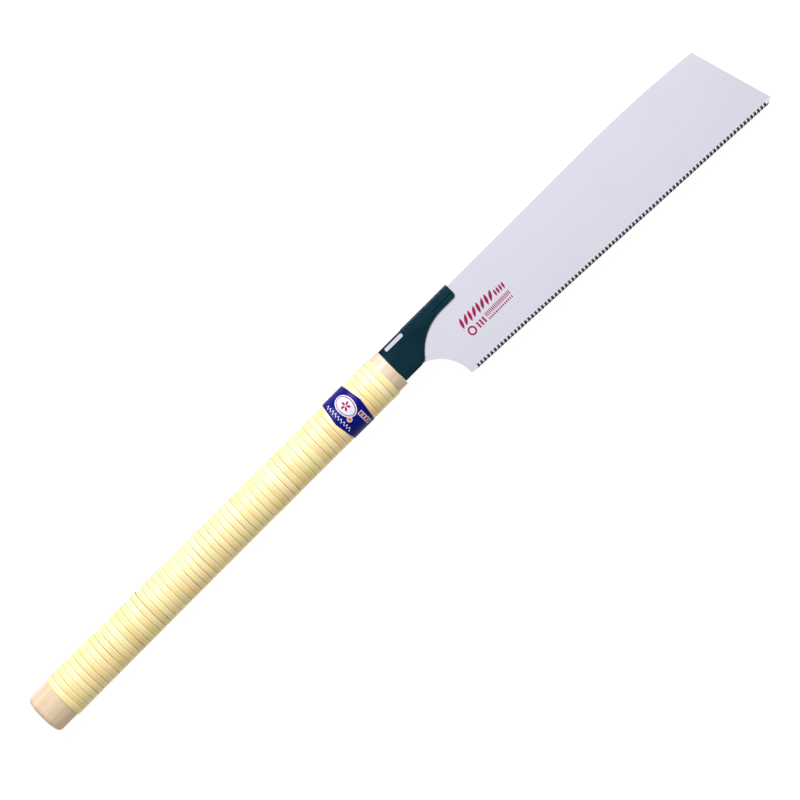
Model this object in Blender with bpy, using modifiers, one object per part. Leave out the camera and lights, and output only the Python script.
"""A Japanese pull saw: a thin replaceable blade in a folded steel holder, on a rattan-bound oval handle.

The saw lies on its side. +X runs from the butt of the handle to the tip of the blade, +Y points to the
blade's spine, -Y to its teeth, and +Z is the blade's normal. The world origin is under the middle of the
saw, on the surface that it lies on. Every piece is parented to the empty saw_frame, and in that frame X is
measured from the front face of the wooden handle, Y from the handle's axis and Z from the blade's middle.
"""

import math

import bmesh
import bpy

# Handle: an oval wooden core in two halves, glued over the tang.
HANDLE_LENGTH = 0.3273
CORE_HALF_WIDTH = 0.0146  # along Y, at the front face
CORE_HALF_THICKNESS = 0.0117  # along Z, at the front face
SWELL = (1.0, -0.102, 0.136)  # the section's size against the front, a quadratic in the share of the length
BUTT_ROUNDING = 0.0035
OVAL_SIDES = 16
CORE_STATIONS = 10
GLUE_GAP = 0.0001

# Rattan: one flat strip of cane wound from end to end.
WRAP_START = -0.0068
WRAP_END = -0.3128
STRIP_WIDTH = 0.0046
STRIP_THICKNESS = 0.0007
STRIP_LIFT = 0.0001  # between the wood and the cane
TURNS = 62
TURN_SKEW = 0.105  # how much less each turn advances over the near side, in shares of a turn

# Paper label, glued over the near side of the wrap.
LABEL_MIDDLE = -0.0416
LABEL_HALF_LENGTH = 0.0117  # at its widest, facing up
LABEL_EDGE_HALF_LENGTH = 0.0091  # where it turns round the sides
LABEL_THICKNESS = 0.00015
LABEL_LIFT = 0.0001

# Holder: one steel sheet folded along the spine, with its two layers running back as the tang.
SHEET = 0.00095
HOLDER_THICKNESS = 0.0028
HOLDER_LENGTH = 0.0636
HOLDER_TOP = 0.0140
HOLDER_REAR_TOP = 0.0136
HOLDER_REAR_LENGTH = 0.0207
HOLDER_BOTTOM = -0.0126
HOLDER_ARM_BOTTOM = 0.0043
SWEEP_END = 0.0498  # where the concave sweep meets the arm's lower edge
SWEEP_RADIUS = 0.0380
REAR_CORNER_RADIUS = 0.0092
REAR_CORNER_START = 0.0138
FRONT_CORNER_RADIUS = 0.0023
FOLD_BEVEL = 0.0008
SLOT_TOP = 0.0131
WINDOW_ENDS = (0.0044, 0.0201)
WINDOW_SIDES = (0.0101, 0.0127)
GRIP_SLIT_ENDS = (0.0445, 0.0630)
GRIP_SLIT_HEIGHT = 0.0077
GRIP_SLIT_WIDTH = 0.0003
TANG_LENGTH = 0.0920
TANG_ROOT_HALF_WIDTH = 0.0070
TANG_END_HALF_WIDTH = 0.0050
SHOULDER_GAP = 0.0001  # from X = 0 to the wood's front face, and to the holder's shoulders

# Blade: hooked on a pin in the holder, and held by its spine in the fold.
BLADE_THICKNESS = 0.0006
SPINE_HEIGHT = 0.0129
SPINE_STRAIGHT_END = 0.1950
SPINE_END_RADIUS = 0.8740
TIP_TOP_X = 0.2880
TIP_LOWER = (0.3046, -0.0504)
TOOTH_LINE_START = (0.0407, -0.0405)
TOOTH_LINE_END = (0.2990, -0.0527)
TOOTH_COUNT = 171
TOOTH_DEPTH = 0.0026
TOOTH_TIP_SHARE = 0.30  # where the tip stands along its pitch: the teeth lean towards the handle
HEEL_POINT = (0.0348, -0.0394)
HEEL_ARC_CENTRE = (0.0073, -0.0380)
HEEL_ARC_RADIUS = 0.0275
HEEL_ARC_END = 76.0  # degrees
PIN_CENTRE = (0.0080, 0.0020)
PIN_RADIUS = 0.0015
PIN_GAP = 0.00005
NOTCH_RADIUS = 0.0017
BLADE_REAR_X = 0.0020
HOOK_TIP = (0.0035, -0.0028)
HOOK_CHAMFER = 0.0012
PIN_SIDES = 20

# Inside the handle: a spacer between the tang's layers, and two pins through wood and tang.
SPACER_THICKNESS = 0.0007
SPACER_ENDS = (-0.0900, -0.0020)
SPACER_HALF_WIDTH = 0.0045
HANDLE_PIN_RADIUS = 0.0015
HANDLE_PIN_CLEARANCE = 0.00015
HANDLE_PIN_XS = (-0.0260, -0.0700)
POCKET_GAP = 0.0002

SAW_MIDDLE_X = (TIP_LOWER[0] - HANDLE_LENGTH) / 2
CUTTER_MARGIN = 0.01
PARTING_DEPTH = 2 * CORE_HALF_WIDTH


def clear_scene():
    for obj in list(bpy.data.objects):
        bpy.data.objects.remove(obj, do_unlink=True)


def new_collection(name):
    collection = bpy.data.collections.new(name)
    bpy.context.scene.collection.children.link(collection)
    return collection


def material(name, colour, roughness, metallic=0.0):
    made = bpy.data.materials.new(name)
    made.use_nodes = True
    shader = made.node_tree.nodes["Principled BSDF"]
    shader.inputs["Base Color"].default_value = (*colour, 1.0)
    shader.inputs["Roughness"].default_value = roughness
    shader.inputs["Metallic"].default_value = metallic
    return made


def arc(centre, radius, start, end, steps):
    """Points on a circle from start to end, in degrees, both ends included."""
    angles = [math.radians(start + (end - start) * step / steps) for step in range(steps + 1)]
    return [(centre[0] + radius * math.cos(a), centre[1] + radius * math.sin(a)) for a in angles]


def flat_curve(name, outline):
    """A filled 2D curve through the outline's points."""
    curve = bpy.data.curves.new(name, "CURVE")
    curve.dimensions = "2D"
    curve.fill_mode = "BOTH"
    spline = curve.splines.new("POLY")
    spline.points.add(len(outline) - 1)
    for point, (x, y) in zip(spline.points, outline):
        point.co = (x, y, 0.0, 1.0)
    spline.use_cyclic_u = True
    return curve


def mesh_object(source, collection, coating=None):
    """The evaluated shape of source as a welded mesh object, in place of source."""
    bpy.context.view_layer.update()
    evaluated = source.evaluated_get(bpy.context.evaluated_depsgraph_get())
    mesh = bpy.data.meshes.new_from_object(evaluated)
    shape = bmesh.new()
    shape.from_mesh(mesh)
    bmesh.ops.remove_doubles(shape, verts=shape.verts, dist=1e-6)
    bmesh.ops.recalc_face_normals(shape, faces=shape.faces)
    shape.to_mesh(mesh)
    shape.free()
    name = source.name
    matrix = source.matrix_world.copy()
    bpy.data.objects.remove(source, do_unlink=True)
    mesh.name = name
    made = bpy.data.objects.new(name, mesh)
    made.matrix_world = matrix
    mesh.materials.clear()
    if coating:
        mesh.materials.append(coating)
    collection.objects.link(made)
    return made


def plate(name, outline, thickness, collection, coating=None):
    """A flat piece with this outline, centred on the blade's mid-plane."""
    curve = flat_curve(name, outline)
    curve.extrude = thickness / 2
    source = bpy.data.objects.new(name, curve)
    collection.objects.link(source)
    return mesh_object(source, collection, coating)


def cylinder(name, radius, length, centre, collection, coating=None):
    """A round bar along Z."""
    mesh = bpy.data.meshes.new(name)
    shape = bmesh.new()
    bmesh.ops.create_cone(
        shape, cap_ends=True, segments=PIN_SIDES, radius1=radius, radius2=radius, depth=length
    )
    shape.to_mesh(mesh)
    shape.free()
    made = bpy.data.objects.new(name, mesh)
    made.location = (centre[0], centre[1], 0.0)
    if coating:
        mesh.materials.append(coating)
    collection.objects.link(made)
    return made


def box(name, low, high, collection):
    mesh = bpy.data.meshes.new(name)
    shape = bmesh.new()
    bmesh.ops.create_cube(shape, size=1.0)
    for vertex in shape.verts:
        vertex.co = [a + (c + 0.5) * (b - a) for a, b, c in zip(low, high, vertex.co)]
    shape.to_mesh(mesh)
    shape.free()
    made = bpy.data.objects.new(name, mesh)
    collection.objects.link(made)
    return made


def cut(piece, *cutters):
    for cutter in cutters:
        cutter.hide_render = True
        cutter.display_type = "WIRE"
        modifier = piece.modifiers.new(cutter.name, "BOOLEAN")
        modifier.operation = "DIFFERENCE"
        modifier.solver = "EXACT"
        modifier.object = cutter


def section_scale(x):
    """The handle's section at x, against its front face: a slight waist and a fuller butt."""
    share = -x / HANDLE_LENGTH
    return SWELL[0] + SWELL[1] * share + SWELL[2] * share * share


def on_handle(x, angle, height):
    """The point at this height above the wood, with the angle measured from +Y towards +Z."""
    scale = section_scale(x)
    y = (CORE_HALF_WIDTH * scale + height) * math.cos(angle)
    z = (CORE_HALF_THICKNESS * scale + height) * math.sin(angle)
    return (x, y, z)


def core_stations():
    """(x, scale) along the core, with the butt's edge rounded by an arc."""
    front = -SHOULDER_GAP
    body_end = -(HANDLE_LENGTH - BUTT_ROUNDING)
    xs = [front + (body_end - front) * step / CORE_STATIONS for step in range(CORE_STATIONS + 1)]
    stations = [(x, section_scale(x)) for x in xs]
    for degrees in (30, 60, 90):
        turn = math.radians(degrees)
        x = body_end - BUTT_ROUNDING * math.sin(turn)
        inset = BUTT_ROUNDING * (1 - math.cos(turn))
        stations.append((x, section_scale(x) - inset / CORE_HALF_WIDTH))
    return stations


def core_blank(name, collection, coating):
    """The whole oval core, as a curve along the axis with the oval as its bevel."""
    angles = [2 * math.pi * side / OVAL_SIDES for side in range(OVAL_SIDES)]
    oval = flat_curve(
        name + "_oval",
        [(CORE_HALF_WIDTH * math.cos(a), CORE_HALF_THICKNESS * math.sin(a)) for a in angles],
    )
    profile = bpy.data.objects.new(name + "_oval", oval)
    collection.objects.link(profile)
    curve = bpy.data.curves.new(name, "CURVE")
    curve.dimensions = "3D"
    curve.bevel_mode = "OBJECT"
    curve.bevel_object = profile
    curve.use_fill_caps = True
    stations = core_stations()
    spline = curve.splines.new("POLY")
    spline.points.add(len(stations) - 1)
    for point, (x, scale) in zip(spline.points, stations):
        point.co = (x, 0.0, 0.0, 1.0)
        point.radius = scale
    source = bpy.data.objects.new(name, curve)
    collection.objects.link(source)
    made = mesh_object(source, collection, coating)
    bpy.data.objects.remove(profile, do_unlink=True)
    return made


def make_core_halves(collection, cutters, wood):
    """The near and far halves, parted at the blade's plane, with room for the tang and the two pins."""
    halves = []
    reach = HANDLE_LENGTH + CUTTER_MARGIN
    for name, side in (("handle_half_near", 1), ("handle_half_far", -1)):
        half = core_blank(name, collection, wood)
        parting = sorted((-side * PARTING_DEPTH, side * GLUE_GAP / 2))
        other_half = box(
            name + "_parting",
            (-reach, -PARTING_DEPTH, parting[0]),
            (CUTTER_MARGIN, PARTING_DEPTH, parting[1]),
            cutters,
        )
        depth = HOLDER_THICKNESS / 2 + POCKET_GAP
        pocket = box(
            name + "_tang_pocket",
            (-TANG_LENGTH - POCKET_GAP, -TANG_ROOT_HALF_WIDTH - POCKET_GAP, -depth),
            (CUTTER_MARGIN, TANG_ROOT_HALF_WIDTH + POCKET_GAP, depth),
            cutters,
        )
        cut(half, other_half, pocket)
        halves.append(half)
    for number, x in enumerate(HANDLE_PIN_XS, 1):
        hole = cylinder(
            f"handle_pin_hole_{number}",
            HANDLE_PIN_RADIUS + HANDLE_PIN_CLEARANCE,
            CORE_HALF_THICKNESS * 4,
            (x, 0.0),
            cutters,
        )
        for half in halves:
            cut(half, hole)
    return halves


def make_handle_pins(collection, steel):
    """Two pins through wood and tang, flush with the wood so that the cane lies over them."""
    pins = []
    for number, x in enumerate(HANDLE_PIN_XS, 1):
        length = 2 * (CORE_HALF_THICKNESS * section_scale(x) - POCKET_GAP)
        pins.append(
            cylinder(f"handle_pin_{number}", HANDLE_PIN_RADIUS, length, (x, 0.0), collection, steel)
        )
    return pins


def make_rattan_strip(collection, cane):
    """One flat strip wound the whole grip, as a helix of a rectangle laid on the oval."""
    travel = WRAP_START - WRAP_END - STRIP_WIDTH
    skew = -TURN_SKEW * travel / TURNS
    low = CORE_HALF_WIDTH + STRIP_LIFT
    high = low + STRIP_THICKNESS
    front = WRAP_START
    corners = [(front - STRIP_WIDTH, low), (front, low), (front, high), (front - STRIP_WIDTH, high)]
    mesh = bpy.data.meshes.new("rattan_strip")
    mesh.from_pydata([(x, y, 0.0) for x, y in corners], [(0, 1), (1, 2), (2, 3), (3, 0)], [])
    source = bpy.data.objects.new("rattan_strip", mesh)
    collection.objects.link(source)
    winding = source.modifiers.new("winding", "SCREW")
    winding.axis = "X"
    winding.steps = OVAL_SIDES
    winding.render_steps = OVAL_SIDES
    winding.iterations = TURNS
    winding.screw_offset = -travel / TURNS
    winding.use_merge_vertices = False
    strip = mesh_object(source, collection, cane)
    shape = bmesh.new()
    shape.from_mesh(strip.data)
    for vertex in shape.verts:
        x, y, z = vertex.co
        height = math.hypot(y, z) - CORE_HALF_WIDTH
        angle = math.atan2(z, y)
        vertex.co = on_handle(x + skew * math.cos(angle), angle, height)
    ends = [edge for edge in shape.edges if edge.is_boundary]
    bmesh.ops.holes_fill(shape, edges=ends, sides=4)
    bmesh.ops.recalc_face_normals(shape, faces=shape.faces)
    shape.to_mesh(strip.data)
    shape.free()
    return strip


def label_faces_out(mesh):
    """Whether the open sheet's faces point away from the handle's axis."""
    face = max(mesh.polygons, key=lambda polygon: polygon.center.z)
    return face.normal.z > 0


def make_label(collection, paper):
    """A barrel-shaped paper over the near side of the grip, reaching a little round both sides."""
    lift = STRIP_LIFT + STRIP_THICKNESS + LABEL_LIFT
    shape = bmesh.new()
    rows = []
    for side in range(-1, OVAL_SIDES // 2 + 2):
        angle = 2 * math.pi * side / OVAL_SIDES
        bulge = 1.0 - abs(math.cos(angle)) if math.sin(angle) > 0 else 0.0
        half = LABEL_EDGE_HALF_LENGTH + (LABEL_HALF_LENGTH - LABEL_EDGE_HALF_LENGTH) * bulge
        ends = [LABEL_MIDDLE - half, LABEL_MIDDLE + half]
        rows.append([shape.verts.new(on_handle(x, angle, lift)) for x in ends])
    for (a, b), (c, d) in zip(rows, rows[1:]):
        shape.faces.new((a, b, d, c))
    mesh = bpy.data.meshes.new("paper_label")
    bmesh.ops.recalc_face_normals(shape, faces=shape.faces)
    shape.to_mesh(mesh)
    shape.free()
    mesh.materials.append(paper)
    label = bpy.data.objects.new("paper_label", mesh)
    collection.objects.link(label)
    thickness = label.modifiers.new("paper", "SOLIDIFY")
    thickness.thickness = LABEL_THICKNESS
    thickness.offset = 1.0 if label_faces_out(mesh) else -1.0
    return label


def holder_outline():
    """The sheet's side view, with the tang, from the rear top round the front to the rear bottom."""
    front = HOLDER_LENGTH
    corner = (front - FRONT_CORNER_RADIUS, HOLDER_ARM_BOTTOM + FRONT_CORNER_RADIUS)
    sweep_centre = (SWEEP_END, HOLDER_ARM_BOTTOM - SWEEP_RADIUS)
    rear_centre = (REAR_CORNER_START, HOLDER_BOTTOM + REAR_CORNER_RADIUS)
    meeting = math.degrees(
        math.atan2(rear_centre[1] - sweep_centre[1], rear_centre[0] - sweep_centre[0])
    )
    step = HOLDER_TOP - HOLDER_REAR_TOP
    points = [
        (SHOULDER_GAP, HOLDER_REAR_TOP),
        (HOLDER_REAR_LENGTH, HOLDER_REAR_TOP),
        (HOLDER_REAR_LENGTH + step, HOLDER_TOP),
        (front, HOLDER_TOP),
    ]
    points += arc(corner, FRONT_CORNER_RADIUS, 0, -90, 5)
    points += arc(sweep_centre, SWEEP_RADIUS, 90, meeting, 12)
    points += arc(rear_centre, REAR_CORNER_RADIUS, meeting - 180, -90, 5)[1:]
    points += [
        (SHOULDER_GAP, HOLDER_BOTTOM),
        (SHOULDER_GAP, -TANG_ROOT_HALF_WIDTH),
        (-TANG_LENGTH, -TANG_END_HALF_WIDTH),
        (-TANG_LENGTH, TANG_END_HALF_WIDTH),
        (SHOULDER_GAP, TANG_ROOT_HALF_WIDTH),
    ]
    return points


def round_fold(holder):
    """Bevels the two long edges of the fold, where the sheet turns over the spine."""
    shape = bmesh.new()
    shape.from_mesh(holder.data)
    long_edges = []
    for edge in shape.edges:
        ends = [vertex.co for vertex in edge.verts]
        if min(end.y for end in ends) > HOLDER_REAR_TOP - FOLD_BEVEL and abs(ends[0].z - ends[1].z) < 1e-6:
            long_edges.append(edge)
    bmesh.ops.bevel(
        shape, geom=long_edges, offset=FOLD_BEVEL, segments=3, profile=0.5, affect="EDGES"
    )
    shape.to_mesh(holder.data)
    shape.free()


def make_holder(collection, cutters, enamel):
    """The folded sheet: two cheeks and two tang layers, joined along the spine."""
    holder = plate("blade_holder", holder_outline(), HOLDER_THICKNESS, collection, enamel)
    round_fold(holder)
    slot_half = HOLDER_THICKNESS / 2 - SHEET
    slot = box(
        "holder_slot",
        (-TANG_LENGTH - CUTTER_MARGIN, HOLDER_BOTTOM - CUTTER_MARGIN, -slot_half),
        (HOLDER_LENGTH + CUTTER_MARGIN, SLOT_TOP, slot_half),
        cutters,
    )
    radius = (WINDOW_SIDES[1] - WINDOW_SIDES[0]) / 2
    middle = (WINDOW_SIDES[1] + WINDOW_SIDES[0]) / 2
    outline = arc((WINDOW_ENDS[1] - radius, middle), radius, -90, 90, 8)
    outline += arc((WINDOW_ENDS[0] + radius, middle), radius, 90, 270, 8)
    window = plate("holder_window", outline, CUTTER_MARGIN, cutters)
    slit = box(
        "holder_grip_slit",
        (GRIP_SLIT_ENDS[0], GRIP_SLIT_HEIGHT - GRIP_SLIT_WIDTH / 2, -CUTTER_MARGIN),
        (GRIP_SLIT_ENDS[1], GRIP_SLIT_HEIGHT + GRIP_SLIT_WIDTH / 2, CUTTER_MARGIN),
        cutters,
    )
    cut(holder, slot, window, slit)
    for number, x in enumerate(HANDLE_PIN_XS, 1):
        hole = cylinder(
            f"tang_hole_{number}",
            HANDLE_PIN_RADIUS + HANDLE_PIN_CLEARANCE,
            CUTTER_MARGIN,
            (x, 0.0),
            cutters,
        )
        cut(holder, hole)
    return holder


def make_spacer(collection, cutters, steel):
    """The strip that keeps the tang's two layers apart, riveted by the handle's pins."""
    outline = [
        (SPACER_ENDS[0], -SPACER_HALF_WIDTH),
        (SPACER_ENDS[1], -SPACER_HALF_WIDTH),
        (SPACER_ENDS[1], SPACER_HALF_WIDTH),
        (SPACER_ENDS[0], SPACER_HALF_WIDTH),
    ]
    spacer = plate("tang_spacer", outline, SPACER_THICKNESS, collection, steel)
    for number, x in enumerate(HANDLE_PIN_XS, 1):
        hole = cylinder(
            f"spacer_hole_{number}",
            HANDLE_PIN_RADIUS + HANDLE_PIN_CLEARANCE,
            CUTTER_MARGIN,
            (x, 0.0),
            cutters,
        )
        cut(spacer, hole)
    return spacer


def make_hook_pin(collection, steel):
    """The pin between the cheeks that the blade's rear notch hooks on."""
    length = HOLDER_THICKNESS - 2 * SHEET - 2 * PIN_GAP
    return cylinder("hook_pin", PIN_RADIUS, length, PIN_CENTRE, collection, steel)


def tooth_edge():
    """The toothed edge from the tip end back to the heel: a valley and a leaning tip for each tooth."""
    (start_x, start_y), (end_x, end_y) = TOOTH_LINE_START, TOOTH_LINE_END
    length = math.hypot(end_x - start_x, end_y - start_y)
    along = ((end_x - start_x) / length, (end_y - start_y) / length)
    inward = (-along[1], along[0])
    pitch = length / TOOTH_COUNT
    points = []
    for tooth in reversed(range(TOOTH_COUNT)):
        for share, depth in ((1.0, TOOTH_DEPTH), (TOOTH_TIP_SHARE, 0.0)):
            distance = (tooth + share) * pitch
            x = start_x + along[0] * distance + inward[0] * depth
            y = start_y + along[1] * distance + inward[1] * depth
            points.append((x, y))
    return points


def blade_outline():
    """The blade's side view, clockwise from the top of its rear end."""
    pin_x, pin_y = PIN_CENTRE
    rear_radius = SPINE_HEIGHT - pin_y
    rear_top = math.degrees(math.acos((BLADE_REAR_X - pin_x) / rear_radius))
    spine_centre = (SPINE_STRAIGHT_END, SPINE_HEIGHT - SPINE_END_RADIUS)
    spine_end = math.degrees(math.acos((TIP_TOP_X - spine_centre[0]) / SPINE_END_RADIUS))
    points = arc(PIN_CENTRE, rear_radius, rear_top, 90, 5)
    points += arc(spine_centre, SPINE_END_RADIUS, 90, spine_end, 12)
    points.append(TIP_LOWER)
    points += tooth_edge()
    points += [TOOTH_LINE_START, HEEL_POINT]
    heel_start = math.degrees(
        math.atan2(HEEL_POINT[1] - HEEL_ARC_CENTRE[1], HEEL_POINT[0] - HEEL_ARC_CENTRE[0])
    )
    points += arc(HEEL_ARC_CENTRE, HEEL_ARC_RADIUS, heel_start, HEEL_ARC_END, 14)[1:]
    points += [HOOK_TIP, (BLADE_REAR_X, HOOK_TIP[1] + HOOK_CHAMFER)]
    points.append((BLADE_REAR_X, pin_y - NOTCH_RADIUS))
    points += arc(PIN_CENTRE, NOTCH_RADIUS, -90, 90, 12)
    points.append((BLADE_REAR_X, pin_y + NOTCH_RADIUS))
    return points


def make_blade(collection, steel):
    """The blade, with its origin on the hook pin that it swings about."""
    pin_x, pin_y = PIN_CENTRE
    outline = [(x - pin_x, y - pin_y) for x, y in blade_outline()]
    shape = bmesh.new()
    near = [shape.verts.new((x, y, BLADE_THICKNESS / 2)) for x, y in outline]
    far = [shape.verts.new((x, y, -BLADE_THICKNESS / 2)) for x, y in outline]
    sides = [shape.faces.new(near), shape.faces.new(far[::-1])]
    for i in range(len(outline)):
        j = (i + 1) % len(outline)
        shape.faces.new((far[i], far[j], near[j], near[i]))
    shape.normal_update()
    bmesh.ops.triangulate(shape, faces=sides, ngon_method="EAR_CLIP")
    bmesh.ops.recalc_face_normals(shape, faces=shape.faces)
    mesh = bpy.data.meshes.new("saw_blade")
    shape.to_mesh(mesh)
    shape.free()
    mesh.materials.append(steel)
    blade = bpy.data.objects.new("saw_blade", mesh)
    collection.objects.link(blade)
    return blade


def saw_frame(collection):
    """An empty at the handle's axis, placed so that the saw stands on the world's XY plane."""
    proud = STRIP_LIFT + STRIP_THICKNESS
    half_width = CORE_HALF_WIDTH * section_scale(WRAP_END) + proud
    half_thickness = CORE_HALF_THICKNESS * section_scale(WRAP_END) + proud
    frame = bpy.data.objects.new("saw_frame", None)
    frame.location = (-SAW_MIDDLE_X, -(half_width + TOOTH_LINE_END[1]) / 2, half_thickness)
    collection.objects.link(frame)
    return frame


def main():
    clear_scene()
    saw = new_collection("pull_saw")
    cutters = new_collection("cutters")
    cutters.hide_render = True
    wood = material("handle_wood", (0.80, 0.58, 0.42), 0.55)
    cane = material("rattan_cane", (0.86, 0.74, 0.36), 0.45)
    paper = material("label_paper", (0.02, 0.03, 0.30), 0.35)
    enamel = material("holder_enamel", (0.008, 0.030, 0.042), 0.35, 0.2)
    blade_steel = material("blade_steel", (0.62, 0.62, 0.68), 0.35, 0.9)
    bright_steel = material("pin_steel", (0.55, 0.56, 0.58), 0.30, 1.0)

    pieces = make_core_halves(saw, cutters, wood)
    pieces += make_handle_pins(saw, bright_steel)
    pieces.append(make_rattan_strip(saw, cane))
    pieces.append(make_label(saw, paper))
    pieces.append(make_holder(saw, cutters, enamel))
    pieces.append(make_spacer(saw, cutters, bright_steel))
    pieces.append(make_hook_pin(saw, bright_steel))
    pieces += list(cutters.objects)

    frame = saw_frame(saw)
    for piece in pieces:
        piece.parent = frame
    pivot = bpy.data.objects.new("blade_pivot", None)
    saw.objects.link(pivot)
    pivot.parent = frame
    pivot.location = (*PIN_CENTRE, 0.0)
    make_blade(saw, blade_steel).parent = pivot


main()
